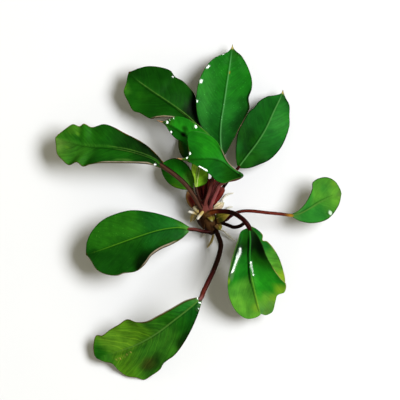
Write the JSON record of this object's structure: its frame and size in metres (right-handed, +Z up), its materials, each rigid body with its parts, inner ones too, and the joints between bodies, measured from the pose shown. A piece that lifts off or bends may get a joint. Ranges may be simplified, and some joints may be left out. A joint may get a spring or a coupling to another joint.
{
  "type": "aquarium plant",
  "caption": "Bare-root bucephalandra lying face up: a short creeping rhizome with roots and bud scales, and curved stalks that each carry a leathery, pointed oval leaf.",
  "frame": {"origin": "the middle of the rhizome's flat underside, on the surface that the plant lies on", "axes": "+Z up, away from the surface; +Y along the rhizome towards its growing tip; +X to the right, as the plant is seen from above"},
  "size_m": [0.0954, 0.1122, 0.0172],
  "materials": {
    "leaf_dark": "deep green, satin, with pale veins",
    "leaf_light": "yellow green, satin, with pale veins",
    "stalk": "maroon to salmon, satin, finely streaked along its length",
    "scale_red": "red brown, thin and dull",
    "scale_olive": "olive to straw, thin and papery",
    "root": "cream to tan, dull",
    "rhizome": "dark brown, rough, ringed by old leaf scars"
  },
  "bodies": {
    "root": {"leaf_bottom_left": "leaf_light", "leaf_centre_back": "leaf_dark", "leaf_centre_front": "leaf_dark", "leaf_far_left": "leaf_dark", "leaf_left": "leaf_dark", "leaf_low_back": "leaf_dark", "leaf_lower_right_back": "leaf_light", "leaf_lower_right_front": "leaf_dark", "leaf_small_left": "leaf_dark", "leaf_small_right": "leaf_light", "leaf_top": "leaf_dark", "leaf_upper_left": "leaf_dark", "leaf_upper_right": "leaf_dark", "leaf_young": "leaf_light", "rhizome": "rhizome", "root_bottom": "root", "root_bottom_right": "root", "root_curl_right": "root", "root_far_left": "root", "root_left": "root", "root_lower_left": "root", "root_lower_right": "root", "root_right": "root", "root_stub_cream": "root", "root_stub_left": "root", "root_stub_white": "root", "root_upper_left": "root", "root_upper_right": "root", "scale_brown_left": "scale_olive", "scale_green_lower": "scale_olive", "scale_green_right": "scale_olive", "scale_green_top": "scale_olive", "scale_red_back": "scale_red", "scale_red_left": "scale_red", "scale_red_right": "scale_red", "scale_straw": "scale_olive", "stalk_bottom_left": "stalk", "stalk_centre_back": "stalk", "stalk_centre_front": "stalk", "stalk_far_left": "stalk", "stalk_left": "stalk", "stalk_low_back": "stalk", "stalk_lower_right_back": "stalk", "stalk_lower_right_front": "stalk", "stalk_small_left": "stalk", "stalk_small_right": "stalk", "stalk_top": "stalk", "stalk_upper_left": "stalk", "stalk_upper_right": "stalk", "stalk_young": "stalk"}
  },
  "joints": []
}
